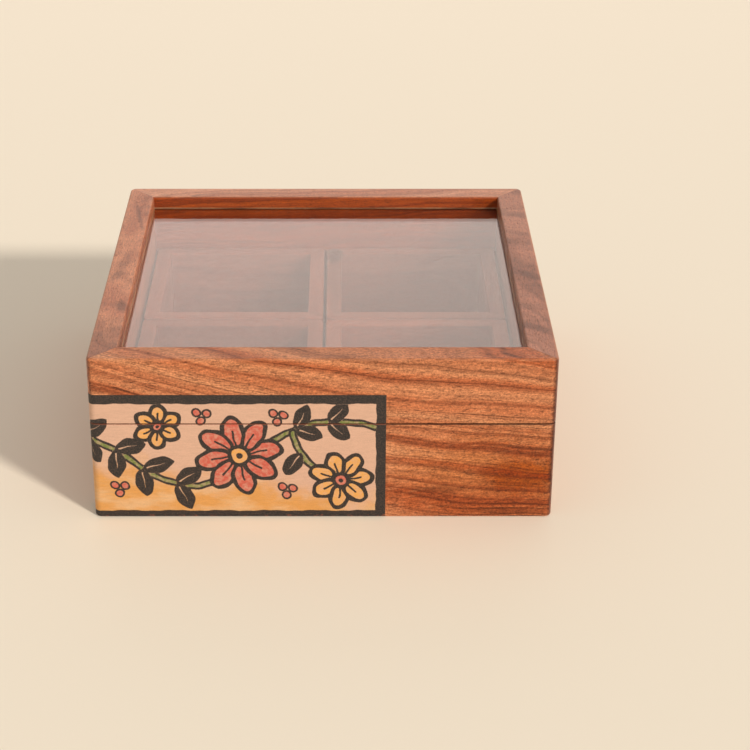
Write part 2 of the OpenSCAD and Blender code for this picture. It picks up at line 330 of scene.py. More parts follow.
def makePatchGroup():
    tree, given, result = newGroup("softPatch", {
        "Position": ("Vector", None), "Centre": ("Vector", (0.0, 0.0, 0.0)),
        "Reach": ("Vector", (5.0, 5.0, 5.0)), "Turn": ("Float", 0.0), "Ragged": ("Float", 0.8),
        "Strength": ("Float", 0.6),
    }, {"Mask": "Float"})
    away = calcVector(tree, "SUBTRACT", given["Position"], given["Centre"])
    away = put(tree, "VectorRotate", {"Vector": away, "Angle": given["Turn"]},
               rotation_type="Z_AXIS").outputs[0]
    far = calcVector(tree, "LENGTH", calcVector(tree, "DIVIDE", away, given["Reach"]))
    torn = noise(tree, given["Position"], *patchShape["torn"])
    far = calc(tree, "ADD", far, sway(tree, torn, given["Ragged"]))
    mask = fadeOut(tree, far, *patchShape["fade"])
    tree.links.new(calc(tree, "MULTIPLY", mask, given["Strength"]), result["Mask"])
    return tree


woodGroup = makeWoodGroup()
wearAndPaintedLightGroup = makeWearAndPaintedLightGroup()
patchGroup = makePatchGroup()
print("shader groups made")


# Case wood: each side is one board, and the lid's rail is sawn off it, so both read one pattern.
# Patches are (tint, centre, reach, turn, strength), in millimetres and degrees on the box. Inside is how
# much the wood's colour is multiplied by on the faces towards the middle of the box: in part a darker
# inner face, in part painted shade for the dim inside of the box.
# A dark tint, for stains in the wood and for painted shade down the right upright corner and on a
# container's rim; it also darkens the left upright corner above the panel.
stainAndShade = tone(92, 62, 54)
glow = tone(214, 170, 84)
caseWood = {
    "wearAndHighlightTone": tone(220, 150, 108), "wearAndHighlightShare": 0.3, "jointTone": tone(48, 24, 16), "jointShare": 0.6,
    "seamTone": tone(52, 22, 12), "seamShare": 0.75, "bump": (0.4, 0.00014), "ior": 1.5,
    "front": {"turn": 0.0, "move": (0.0, 105.0, 26.0), "Band Width": 8.0, "Wander": 15.0,
              "Wander Length": 95.0, "Slope": 0.15, "Bow": -0.0004, "Streaks": 0.9, "Pores": 0.9,
              "Bands": 0.8, "Fibre": 1.75, "Grit": 1.9,
              "Pale": tone(211, 141, 96), "Dark": tone(110, 50, 26),
              "inside": (1.0, 1.0, 1.0, 1.0), "specular": 0.25,
              "patches": [(glow, (71.0, -82.5, 17.0), (20.0, 20.0, 11.0), 0.0, 0.95),
                          (glow, (62.0, -82.5, 14.0), (52.0, 20.0, 30.0), 0.0, 0.6),
                          (stainAndShade, (66.0, -82.5, 2.6), (22.0, 8.0, 1.8), 0.0, 0.4),
                          (stainAndShade, (42.0, -82.5, 11.5), (13.0, 6.0, 2.0), 0.0, 0.4),
                          # Painted shade: a dark line down the right upright corner. The next darkens the
                          # left upright corner above the panel.
                          (stainAndShade, (82.4, -82.4, 32.0), (2.2, 2.2, 80.0), 0.0, 0.85),
                          (stainAndShade, (-82.4, -82.4, 56.0), (1.8, 1.8, 30.0), 0.0, 0.6)]},
    "back": {"turn": 0.0, "move": (40.0, -60.0, -14.0), "Band Width": 7.0, "Wander": 12.0,
             "Wander Length": 80.0, "Slope": -0.05, "Streaks": 0.6, "Bands": 0.6,
             "Pale": tone(205, 138, 104), "Middle": tone(178, 108, 77), "Grit": 1.0,
             "inside": (0.6, 0.24, 0.02, 1.0), "specular": 0.45, "patches": []},
    "left": {"turn": 90.0, "move": (15.0, 60.0, 40.0), "Band Width": 9.0, "Wander": 26.0,
             "Wander Length": 45.0, "Slope": 0.05, "Skew": 0.1, "Bands": 0.55, "Streaks": 0.35,
             "Curl": 0.5, "Pale": tone(201, 130, 92), "Middle": tone(170, 99, 67),
             "inside": (0.85, 0.75, 0.68, 1.0), "specular": 0.45,
             "patches": [(stainAndShade, (-77.5, 2.0, 63.5), (3.0, 18.0, 12.0), 8.0, 0.3),
                         (stainAndShade, (-79.0, -10.0, 63.5), (2.5, 7.0, 12.0), 20.0, 0.35),
                         (stainAndShade, (-74.5, -38.0, 63.5), (3.0, 7.0, 12.0), -8.0, 0.5),
                         (stainAndShade, (-76.0, 50.0, 63.5), (1.2, 22.0, 12.0), -10.0, 0.4),
                         (stainAndShade, (-77.0, -74.0, 63.5), (13.0, 30.0, 14.0), 0.0, 0.42)]},
    "right": {"turn": 90.0, "move": (70.0, -55.0, 20.0), "Band Width": 11.0, "Wander": 22.0,
              "Wander Length": 42.0, "Slope": 0.06, "Skew": -0.5, "Bands": 0.5, "Streaks": 0.15,
              "Curl": 0.6, "Pale": tone(175, 112, 85), "Middle": tone(150, 90, 65),
              "Dark": tone(84, 44, 30), "inside": (1.0, 0.95, 0.9, 1.0), "specular": 0.45,
              "patches": [(stainAndShade, (77.0, 53.0, 63.5), (16.0, 4.0, 9.0), 24.0, 0.3),
                          (stainAndShade, (77.0, 33.0, 63.5), (16.0, 3.0, 9.0), 30.0, 0.25),
                          (stainAndShade, (77.0, -8.0, 63.5), (18.0, 3.5, 9.0), 38.0, 0.35),
                          (stainAndShade, (76.0, -56.0, 63.5), (16.0, 3.5, 9.0), 34.0, 0.45),
                          # Painted shade: a dark line down the right upright corner.
                          (stainAndShade, (82.4, -82.4, 32.0), (2.2, 2.2, 80.0), 0.0, 0.85)]},
}


# Patches one after another. In each, the colour goes towards itself times the tint.
def addPatches(tree, color, patches):
    for tint, centre, reach, angle, strength in patches:
        patch = useGroup(tree, patchGroup, {"Position": position(tree), "Centre": centre, "Reach": reach,
                                            "Turn": math.radians(angle), "Strength": strength})
        color = mixColor(tree, patch["Mask"], color, tinted(tree, color, tint))
    return color


# Wood of one side: tinted on its inner face, in part as painted shade, then patched, then lightened on
# the edges as rubbed wood and as a painted highlight on the arrises, and darkened at the mitres and in the
# saw cut, the saw cut with painted shade and dust.
def makeCaseWood(side):
    values = dict(caseWood[side])
    material, tree = newMaterial("caseWood-" + side)
    turn, move = values.pop("turn"), values.pop("move")
    patches, inside, specular = values.pop("patches"), values.pop("inside"), values.pop("specular")
    wood = useGroup(tree, woodGroup, {"Position": position(tree, turn, move), **values})
    wearAndPaintedLight = useGroup(tree, wearAndPaintedLightGroup, {
        "Position": position(tree), "Half Width": boxWidth / 2 / millimetre,
        "Half Depth": boxDepth / 2 / millimetre, "Height": boxHeight / millimetre,
        "Seam Height": (baseTop + lidLow) / 2 / millimetre, "Wall": wallThick / millimetre})
    color = wood["Color"]
    # In part painted shade: the inner faces are darkened for the dim inside of the box.
    color = mixColor(tree, wearAndPaintedLight["Inner Face"], color, tinted(tree, color, inside))
    color = addPatches(tree, color, patches)
    # Edges: rubbed wood and a painted highlight. Saw cut: painted shade and dust.
    for name, mask in (("wearAndHighlight", wearAndPaintedLight["Edge"]), ("joint", wearAndPaintedLight["Joint"]), ("seam", wearAndPaintedLight["Seam"])):
        share = calc(tree, "MULTIPLY", mask, caseWood[name + "Share"])
        color = mixColor(tree, share, color, caseWood[name + "Tone"])
    finishMaterial(tree, {"Base Color": color, "Roughness": wood["Roughness"], "IOR": caseWood["ior"],
                          "Specular IOR Level": specular}, wood["Height"], caseWood["bump"])
    return material


# Container wood: plainer, unvarnished, and darker, in part as painted shade for the dim inside of the box.
# Each container is cut from a place of its own in the wood, and has its own shade, which its colour is
# multiplied by; in part this is painted shade, set for each container.
cupWood = {
    "bump": (0.3, 0.0001), "specular": 0.3, "rougher": 0.22,
    "turns": {"alongX": 0.0, "alongY": 90.0},
    "moves": {"front_left": (0.0, 33.0, 71.0), "front_right": (90.0, 47.0, 64.0),
              "back_left": (-60.0, 26.0, 78.0), "back_right": (140.0, 38.0, 58.0)},
    "shades": {"front_left": (0.76, 0.72, 0.82, 1.0), "front_right": (0.94, 0.9, 1.0, 1.0),
               "back_left": (0.8, 0.76, 0.9, 1.0), "back_right": (0.8, 0.8, 0.95, 1.0)},
    "look": {"Band Width": 8.0, "Wander": 14.0, "Wander Length": 70.0, "Streaks": 0.2, "Bands": 0.2,
             "Pores": 0.6, "Pale": tone(170, 101, 72), "Middle": tone(160, 93, 65),
             "Dark": tone(118, 64, 42)},
    # Painted shade on the back right container's rim, towards its left.
    "patches": {"back_right": [(stainAndShade, (3.8, 64.0, 39.5), (5.0, 12.0, 5.0), 0.0, 0.6),
                               (stainAndShade, (3.8, 36.0, 39.5), (4.5, 46.0, 5.0), 0.0, 0.35)]},
}


def makeCupWood(cup, direction):
    material, tree = newMaterial(f"containerWood-{cup}-{direction}")
    place = position(tree, cupWood["turns"][direction], cupWood["moves"][cup])
    wood = useGroup(tree, woodGroup, {"Position": place, **cupWood["look"]})
    # In part painted shade: each container's colour times its own shade.
    color = addPatches(tree, tinted(tree, wood["Color"], cupWood["shades"][cup]),
                       cupWood["patches"].get(cup, []))
    finishMaterial(tree, {"Base Color": color, "Specular IOR Level": cupWood["specular"],
                          "Roughness": calc(tree, "ADD", wood["Roughness"], cupWood["rougher"])},
                   wood["Height"], cupWood["bump"])
    return material


# Clear pane. Rays from the lamps pass straight on, so that they reach the containers.
paneGlass = {
    "tint": (0.96, 0.95, 0.94, 1.0), "lampTint": (0.46, 0.45, 0.44, 1.0),
    "roughness": 0.015, "ior": 1.5,
}


def makePaneGlass():
    material, tree = newMaterial("clearPane")
    glass = put(tree, "BsdfPrincipled", {
        "Base Color": paneGlass["tint"], "Roughness": paneGlass["roughness"], "IOR": paneGlass["ior"],
        "Transmission Weight": 1.0})
    clear = put(tree, "BsdfTransparent", {"Color": paneGlass["lampTint"]})
    fromLamp = put(tree, "LightPath").outputs["Is Shadow Ray"]
    both = put(tree, "MixShader", {0: fromLamp, 1: glass.outputs[0], 2: clear.outputs[0]})
    put(tree, "OutputMaterial", {"Surface": both.outputs[0]})
    return material


# Brass of the hinges and screws: cloudy, and brushed along X.
hingeBrass = {
    "bright": tone(218, 180, 112), "dull": tone(176, 134, 78), "bump": (0.15, 0.00003),
    "cloud": (0.35, 5.0, 0.65), "cloudRange": (0.35, 0.65), "brushed": ((0.4, 9.0, 9.0), 3.0, 0.6),
    "roughness": 0.24, "cloudRoughness": 0.16, "brushedRoughness": 0.12,
}


def makeHingeBrass():
    material, tree = newMaterial("satinBrass")
    place = position(tree)
    cloud = smoothRange(tree, noise(tree, place, *hingeBrass["cloud"]), *hingeBrass["cloudRange"])
    brushed = noise(tree, place, *hingeBrass["brushed"])
    color = mixColor(tree, cloud, hingeBrass["bright"], hingeBrass["dull"])
    rough = calc(tree, "ADD", calc(tree, "MULTIPLY", cloud, hingeBrass["cloudRoughness"]),
                 calc(tree, "MULTIPLY", brushed, hingeBrass["brushedRoughness"]))
    rough = calc(tree, "ADD", rough, hingeBrass["roughness"])
    finishMaterial(tree, {"Base Color": color, "Roughness": rough, "Metallic": 1.0}, brushed,
                   hingeBrass["bump"])
    return material


# One material on each named node.
def dress(material, *nodeNames):
    for name in nodeNames:
        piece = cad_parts[name]
        piece.data.materials.clear()
        piece.data.materials.append(material)


for side in ("front", "back", "left", "right"):
    dress(makeCaseWood(side), f"base_{side}_board", f"lid_{side}_rail")
for cup in cupWood["moves"]:
    cupNodes = [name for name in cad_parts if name.startswith("container_" + cup)]
    sideWalls = [name for name in cupNodes if name.endswith(("left_wall", "right_wall"))]
    dress(makeCupWood(cup, "alongX"), *[name for name in cupNodes if name not in sideWalls])
    dress(makeCupWood(cup, "alongY"), *sideWalls)
dress(makeCupWood("back_left", "alongX"), "base_bottom")
dress(makePaneGlass(), "lid_glass")
dress(makeHingeBrass(), *[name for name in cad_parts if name.startswith("hinge_")])
print("materials on the frame")


# Mesh helpers
# A sheet from a grid of points in millimetres, rows by columns. Rows go up and columns to the right,
# seen from the side that its faces point to. It may be closed along either direction.
def sheetPiece(name, points, body, material, closed=(False, False)):
    rows, columns = points.shape[:2]
    index = np.arange(rows * columns).reshape(rows, columns)
    if closed[0]:
        index = np.concatenate([index, index[:1]], axis=0)
    if closed[1]:
        index = np.concatenate([index, index[:, :1]], axis=1)
    cells = [index[:-1, :-1], index[:-1, 1:], index[1:, 1:], index[1:, :-1]]
    faces = np.stack(cells, axis=-1).reshape(-1, 4)
    mesh = bpy.data.meshes.new(name)
    mesh.from_pydata((points.reshape(-1, 3) * millimetre).tolist(), [], faces.tolist())
    mesh.polygons.foreach_set("use_smooth", np.ones(len(mesh.polygons), dtype=bool))
    mesh.materials.append(material)
    piece = bpy.data.objects.new(name, mesh)
    bpy.context.scene.collection.objects.link(piece)
    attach(piece, body)
    return piece


# Painted panel on the front. It wraps round the left upright corner on to the side, and the saw cut
# divides it. Lengths are millimetres; u runs to the right from the box's left face, v runs up.
caseShape = {"corner": 2.5, "edge": 0.9, "seamEdge": 0.3}
paintedPanel = {
    "right": 104.9, "top": 49.6, "border": 3.55, "bottomBorder": 2.8, "sideReturn": 9.0,
    "film": 0.05, "step": 0.31, "curveRows": 6, "curveStart": 0.25, "flatEdge": 0.001,
    "outline": 1.5, "borderWave": 0.7, "farthest": 9.0,
    "peach": tone(211, 167, 139), "yellow": tone(214, 150, 78), "ink": tone(23, 19, 18),
    "coral": tone(198, 86, 66), "gold": tone(226, 160, 78), "olive": tone(104, 118, 46),
    "vein": tone(200, 160, 128), "paleWash": tone(222, 180, 134), "bareWood": tone(150, 82, 54),
}

# Sizes of the painted shapes, in millimetres. A rosette's are shares of its radius, and a vein's span
# is a share of the leaf's length.
motifs = {
    "stemWidth": 1.5, "stemLineOut": 0.3, "stemLineHalf": 0.45,
    "veinSpan": (0.15, 0.7), "veinPoints": 12, "veinHalf": 0.26,
    "petalMiddle": 0.62, "petalLong": 0.4, "petalWide": 0.62, "petalSwell": 0.15,
    "markSpan": (0.3, 0.66), "markPoints": 8, "markWidth": 0.75, "heart": 0.24, "dot": 0.08,
    "berryRadius": 1.5, "berryApart": 2.1, "berryTurns": (0.4, 2.5, 4.6), "berryLineHalf": 0.35,
}

# Waves over the panel: (height, rate along u, rate along v, start). Two shift the drawing along u and
# two along v, as a hand does. The last two, multiplied, are the share by which the outline swells.
handWaves = {
    "slowU": (0.22, 0.0, 0.41, 0.7), "quickU": (0.12, 0.2, 1.3, 0.0),
    "slowV": (0.22, 0.37, 0.0, 0.4), "quickV": (0.12, 1.1, 0.3, 0.0),
    "swellU": (0.18, 0.9, 0.0, 0.0), "swellV": (1.0, 0.0, 0.8, 1.0),
}

# The design: a large coral rosette and two gold ones on a falling and rising stem, with berries. A stem
# is a start, two pulling points and an end. A rosette is the colours of its petals and heart, its
# centre, radius, number of petals and turn.
design = {
    "stems": {"falling": ((-14.0, 30.0), (8.0, 44.0), (20.0, 2.0), (46.0, 16.0)),
              "rising": ((46.0, 16.0), (62.0, 25.0), (70.0, 47.0), (104.0, 36.0)),
              "sprig": ((72.0, 35.0), (74.0, 24.0), (78.0, 20.0), (86.0, 17.0))},
    "leaves": {"falling": {"shares": (0.2, 0.4, 0.6, 0.8), "lean": 0.85},
               "rising": {"shares": (0.62, 0.8), "lean": 0.75, "length": 10.5, "width": 6.0},
               "sprig": {"shares": (0.34,), "lean": 1.0, "sides": (-1,), "length": 10.5}},
    "rosettes": [("coral", "gold", (52.5, 25.5), 15.0, 8, 0.2),
                 ("gold", "coral", (24.0, 37.0), 8.2, 6, 0.5),
                 ("gold", "coral", (89.0, 15.5), 11.0, 7, 0.1)],
    "berries": [(9.5, 12.0), (69.5, 11.5), (66.5, 41.0), (39.5, 41.5)],
}


# Distance from an ellipse, below 0 inside: the scaled length less 1, over the length of its slope.
def ellipseDistance(u, v, centre, radii, angle=0.0):
    du, dv = u - centre[0], v - centre[1]
    a = (du * math.cos(angle) + dv * math.sin(angle)) / radii[0]
    b = (dv * math.cos(angle) - du * math.sin(angle)) / radii[1]
    length = np.maximum(np.hypot(a, b), 1e-6)
    return length * (length - 1) / np.maximum(np.hypot(a / radii[0], b / radii[1]), 1e-6)


# Distance from an almond leaf between two ends: inside both of two circles that pass through the ends.
def leafDistance(u, v, foot, tip, width):
    foot, tip = np.array(foot), np.array(tip)
    length = np.hypot(*(tip - foot))
    radius = (length ** 2 + width ** 2) / (4 * width)
    side = np.array([foot[1] - tip[1], tip[0] - foot[0]]) / length * (radius - width / 2)
    one, other = (foot + tip) / 2 + side, (foot + tip) / 2 - side
    return np.maximum(np.hypot(u - one[0], v - one[1]), np.hypot(u - other[0], v - other[1])) - radius


# Distance from a line through points: the least over its pieces of the distance to the nearest place
# on the piece, which is the projection held between the two ends. Also gives the length run there.
def lineDistance(u, v, points):
    start, step = points[:-1, :, None, None], (points[1:] - points[:-1])[:, :, None, None]
    length = np.hypot(step[:, 0], step[:, 1])
    share = ((u - start[:, 0]) * step[:, 0] + (v - start[:, 1]) * step[:, 1]) / length ** 2
    share = np.clip(share, 0, 1)
    away = np.hypot(u - start[:, 0] - share * step[:, 0], v - start[:, 1] - share * step[:, 1])
    nearest = np.argmin(away, axis=0)[None]
    run = np.cumsum(length, axis=0) - length + share * length
    return np.take_along_axis(away, nearest, 0)[0], np.take_along_axis(run, nearest, 0)[0]


# Points along a smooth curve through a start, two pulling points and an end (a cubic in t).
def bend(start, pullOne, pullTwo, end, count=40):
    t = np.linspace(0, 1, count)[:, None]
    parts = [(1 - t) ** 3, 3 * t * (1 - t) ** 2, 3 * t ** 2 * (1 - t), t ** 3]
    return sum(part * np.array(point) for part, point in zip(parts, (start, pullOne, pullTwo, end)))


# The step of length 1 at an angle from the u direction.
def heading(angle):
    return np.array([math.cos(angle), math.sin(angle)])


# One of the hand's waves, at every point of a grid.
def handWave(name, u, v):
    height, rateU, rateV, start = handWaves[name]
    return height * np.sin(rateU * u + rateV * v + start)


class PaintLayers:
    # The least distance to each colour's shapes, at every point of a grid.
    def __init__(self, u, v):
        self.u = u + handWave("slowU", u, v) + handWave("quickU", u, v)
        self.v = v + handWave("slowV", u, v) + handWave("quickV", u, v)
        names = ("ink", "coral", "gold", "olive", "vein")
        self.far = {name: np.full(u.shape, paintedPanel["farthest"]) for name in names}
        swell = handWave("swellU", u, v) * handWave("swellV", u, v)
        self.width = paintedPanel["outline"] * (1 + swell)

    # A shape joins those of its colour: the lesser distance counts.
    def add(self, name, distance):
        self.far[name] = np.minimum(self.far[name], distance)

    # A shape is cut out of every colour: the greater of their distance and its own, turned inside out.
    def clear(self, distance):
        for name in self.far:
            self.far[name] = np.maximum(self.far[name], -distance)

    # A shape filled with a colour, with an ink outline centred on its edge.
    def fill(self, name, distance):
        self.clear(distance)
        self.add(name, distance)
        self.add("ink", np.abs(distance) - self.width / 2)

    # A green stem with an ink line on each side.
    def stem(self, points):
        away = lineDistance(self.u, self.v, points)[0] - motifs["stemWidth"] / 2
        self.clear(away)
        self.add("olive", away)
        self.add("ink", np.abs(away - motifs["stemLineOut"]) - motifs["stemLineHalf"])

    # An ink leaf with a pale vein that tapers towards the tip.
    def leaf(self, foot, angle, length, width):
        reach = length * heading(angle)
        foot = np.array(foot)
        shape = leafDistance(self.u, self.v, foot, foot + reach, width)
        self.clear(shape)
        self.add("ink", shape)
        start, end = motifs["veinSpan"]
        spine = foot + reach * np.linspace(start, end, motifs["veinPoints"])[:, None]
        away, run = lineDistance(self.u, self.v, spine)
        vein = away - motifs["veinHalf"] * (1 - run / length / end)
        self.clear(vein)
        self.add("vein", vein)

    # Leaves along a stem at shares of it, on each side, leaning forward from it by an angle.
    def leaves(self, points, shares, lean, sides=(-1, 1), length=11.6, width=6.6):
        for share in shares:
            k = int(share * (len(points) - 2))
            forward = math.atan2(*(points[k + 1] - points[k])[::-1])
            for side in sides:
                self.leaf(points[k], forward + side * lean, length, width)

    # A round flower: petals set round the middle, each with a short ink mark, then a ringed heart.
    def rosette(self, name, heart, centre, radius, petals, turn):
        centre = np.array(centre)
        angles = [turn + 2 * math.pi * k / petals for k in range(petals)]
        middle, long = radius * motifs["petalMiddle"], radius * motifs["petalLong"]
        wide = radius * motifs["petalWide"] * math.sin(math.pi / petals)
        for angle in angles:
            place = centre + middle * heading(angle)
            petal = ellipseDistance(self.u, self.v, place, (long, wide), angle)
            self.fill(name, petal - motifs["petalSwell"])
        for angle in angles:
            shares = np.linspace(*motifs["markSpan"], motifs["markPoints"])[:, None]
            away = lineDistance(self.u, self.v, centre + heading(angle) * radius * shares)[0]
            self.add("ink", away - motifs["markWidth"] / 2)
        core = np.hypot(self.u - centre[0], self.v - centre[1])
        self.fill(heart, core - radius * motifs["heart"])
        self.add("ink", core - radius * motifs["dot"])

    # Three berries close together.
    def berries(self, centre):
        for angle in motifs["berryTurns"]:
            place = np.array(centre) + motifs["berryApart"] * heading(angle)
            away = np.hypot(self.u - place[0], self.v - place[1]) - motifs["berryRadius"]
            self.add("coral", away)
            self.add("ink", np.abs(away) - motifs["berryLineHalf"])


# Stems, then leaves, rosettes and berries, because what is drawn later lies over what is there.
def drawDesign(layers):
    stems = {name: bend(*points) for name, points in design["stems"].items()}
    for points in stems.values():
        layers.stem(points)
    for name, look in design["leaves"].items():
        layers.leaves(stems[name], **look)
    for rosette in design["rosettes"]:
        layers.rosette(*rosette)
    for centre in design["berries"]:
        layers.berries(centre)


# Ink border round the panel: what lies less than its width from an edge is cut out and inked. It
# follows the hand's waves by a share.
def addBorder(layers, u, v):
    right, top = paintedPanel["right"], paintedPanel["top"]
    border, wave = paintedPanel["border"], paintedPanel["borderWave"]
    left = caseShape["corner"] * (1 - math.pi / 2) - paintedPanel["sideReturn"]
    frameU = layers.u * wave + u * (1 - wave)
    frameV = layers.v * wave + v * (1 - wave)
    edges = [frameU - left, right - frameU, top - frameV]
    inside = np.minimum(np.minimum(edges[0], edges[1]), edges[2]) - border
    inside = np.minimum(inside, frameV - paintedPanel["bottomBorder"])
    layers.clear(inside)
    layers.add("ink", inside)


# Where the film lies: out along the case's outline at a length run, in by how far the long edge is
# rounded at that height, which is the radius less the root of its square less the square of the rise.
def filmPoints(u, v, low, high, lowEdge, highEdge):
    corner = caseShape["corner"]
    run = u - corner * (1 - math.pi / 2)
    turn = np.clip(run / corner, 0, math.pi / 2)
    x = -boxWidth / 2 / millimetre + corner * (1 - np.cos(turn)) + np.clip(u - corner, 0, None)
    y = -boxDepth / 2 / millimetre + corner * (1 - np.sin(turn)) + np.clip(-run, 0, None)
    inset = np.zeros(v.shape)
    for rise, radius in ((v - low, lowEdge), (high - v, highEdge)):
        short = np.clip(radius - rise, 0, radius)
        inset = inset + radius - np.sqrt(radius ** 2 - short ** 2)
    return np.stack([x + inset * np.cos(turn), y + inset * np.sin(turn), v], axis=-1)


# Heights from low to high: close together on the rounded edges, then an even step. An edge that isn't
# rounded counts as a very small one.
def filmRows(low, high, lowEdge, highEdge):
    step = paintedPanel["step"]
    highEdge = max(highEdge, paintedPanel["flatEdge"])
    curve = 1 - np.cos(np.linspace(paintedPanel["curveStart"], math.pi / 2, paintedPanel["curveRows"]))
    flat = np.arange(low + lowEdge + step, high - highEdge, step)
    return np.concatenate([low + lowEdge * curve, flat, high - highEdge * curve[::-1]])


# The paint's look: a yellow wash low on the left over peach, then each colour where its distance is
# below 0, with a ragged edge and dry streaks, then bare wood at the saw cut and where the lower edge is
# rubbed. A noise is its scale, detail and roughness, and lengths are millimetres.
brushwork = {
    "speck": (3.2, 2.0, 0.6), "brush": ((0.25, 0.25, 2.2), 3.0, 0.6),
    "cloud": (0.09, 3.0, 0.55), "cloudRise": 26.0, "tilt": 0.15, "yellowRange": (3.0, 15.0),
    "wash": ((0.07, 0.07, 0.2), 3.0, 0.55), "washRange": (0.42, 0.68), "washShare": 0.7,
    "ragged": 0.35, "softEdge": (-0.12, 0.12), "streak": (0.7, 4.0, 0.7), "streakRange": (0.35, 0.7),
    "streakShare": 0.55, "inkRange": (0.45, 0.75), "inkShare": 0.16,
    "seamRagged": 0.9, "seamRange": (0.2, 0.36), "seamShare": 0.65,
    "rub": (0.5, 4.0, 0.75), "rubRange": (0.5, 0.68), "rubHeight": 1.3, "rubSpeck": 0.4,
    "chipRange": (0.15, 0.35), "chipShare": 0.7, "speckLift": 0.5, "brushLift": 0.3,
    "groundHeight": 0.35, "colourHeight": 0.3, "bump": (0.35, 0.00008),
    "roughness": 0.45, "speckRoughness": 0.25,
}


def makePaint():
    material, tree = newMaterial("brushedPaint")
    look = brushwork
    place = position(tree)
    x, y, z = put(tree, "SeparateXYZ", {0: place}).outputs
    speck = noise(tree, place, *look["speck"])
    brush = noise(tree, place, *look["brush"])
    low = calc(tree, "ADD", z, sway(tree, noise(tree, place, *look["cloud"]), look["cloudRise"]))
    low = calc(tree, "ADD", low, calc(tree, "MULTIPLY", x, look["tilt"]))
    wash = smoothRange(tree, noise(tree, place, *look["wash"]), *look["washRange"])
    wash = calc(tree, "MULTIPLY", wash, look["washShare"])
    yellow = mixColor(tree, wash, paintedPanel["yellow"], paintedPanel["paleWash"])
    color = mixColor(tree, fadeOut(tree, low, *look["yellowRange"]), paintedPanel["peach"], yellow)
    ragged = sway(tree, speck, look["ragged"])
    height = calc(tree, "MULTIPLY", brush, look["groundHeight"])
    streak = smoothRange(tree, noise(tree, place, *look["streak"]), *look["streakRange"])
    streak = calc(tree, "MULTIPLY", streak, look["streakShare"])
    thin = calc(tree, "MULTIPLY", smoothRange(tree, speck, *look["inkRange"]), look["inkShare"])
    for name in ("coral", "gold", "olive", "vein", "ink"):
        away = put(tree, "Attribute", attribute_name=name).outputs["Fac"]
        mask = fadeOut(tree, calc(tree, "ADD", away, ragged), *look["softEdge"])
        bare = thin if name == "ink" else streak
        color = mixColor(tree, mask, color, mixColor(tree, bare, paintedPanel[name], paintedPanel["peach"]))
        raised = calc(tree, "MULTIPLY", mask, calc(tree, "ADD", brush, look["colourHeight"]))
        height = calc(tree, "MAXIMUM", height, raised)
    fromSeam = calc(tree, "ABSOLUTE", calc(tree, "SUBTRACT", z, (baseTop + lidLow) / 2 / millimetre))
    fromSeam = calc(tree, "ADD", fromSeam, sway(tree, speck, look["seamRagged"]))
    sawn = calc(tree, "MULTIPLY", fadeOut(tree, fromSeam, *look["seamRange"]), look["seamShare"])
    color = mixColor(tree, sawn, color, paintedPanel["bareWood"])
    rubbed = smoothRange(tree, noise(tree, place, *look["rub"]), *look["rubRange"])
    chip = calc(tree, "SUBTRACT", calc(tree, "MULTIPLY", rubbed, look["rubHeight"]), z)
    chip = calc(tree, "ADD", chip, calc(tree, "MULTIPLY", speck, look["rubSpeck"]))
    chip = calc(tree, "MULTIPLY", smoothRange(tree, chip, *look["chipRange"]), look["chipShare"])
    color = mixColor(tree, chip, color, paintedPanel["bareWood"])
    lift = calc(tree, "ADD", sway(tree, speck, look["speckLift"]), 1.0)
    color = lifted(tree, color, calc(tree, "ADD", lift, sway(tree, brush, look["brushLift"])))
    rough = ramp(tree, speck, look["speckRoughness"], look["roughness"])
    finishMaterial(tree, {"Base Color": color, "Roughness": rough}, height, look["bump"])
    return material


def makePaintedPanel():
    paint = makePaint()
    left = caseShape["corner"] * (1 - math.pi / 2) - paintedPanel["sideReturn"]
    columns = np.arange(left, paintedPanel["right"], paintedPanel["step"])
    edge, seamEdge = caseShape["edge"], caseShape["seamEdge"]
    for body, low, high, lowEdge, highEdge in (
            ("base", 0.0, baseTop / millimetre, edge, seamEdge),
            ("lid", lidLow / millimetre, paintedPanel["top"], seamEdge, 0.0)):
        u, v = np.meshgrid(columns, filmRows(low, high, lowEdge, highEdge))
        layers = PaintLayers(u, v)
        drawDesign(layers)
        addBorder(layers, u, v)
        points = filmPoints(u, v, low, high, lowEdge, highEdge)
        piece = sheetPiece(f"painted_panel_{body}", points, body, paint)
        for name, far in layers.far.items():
            values = piece.data.attributes.new(name, "FLOAT", "POINT")
            values.data.foreach_set("value", far.ravel().astype(np.float32))
        film = piece.modifiers.new("film", "SOLIDIFY")
        film.thickness = paintedPanel["film"] * millimetre
        film.offset = 1.0
        print("painted panel on the", body, points.shape)


makePaintedPanel()


# Glue bead round the pane, in the corner between its upper face and the rails: a hollow quarter round
# carried round a square, with a size that swells and shrinks along it. Lengths are millimetres.
glueBead = {
    "width": 0.36, "height": 0.34, "sink": 0.04, "behind": 0.1, "around": 720, "arcPoints": 6,
    "size": 0.75, "slowSwell": 0.3, "quickSwell": 0.2, "rates": (9.1, 5.3, 23.7), "quickStart": 1.1,
    "pale": tone(168, 118, 78), "dark": tone(104, 60, 36), "cloud": (0.5, 3.0, 0.5),
    "roughness": 0.35, "bump": (0.2, 0.0001),
}


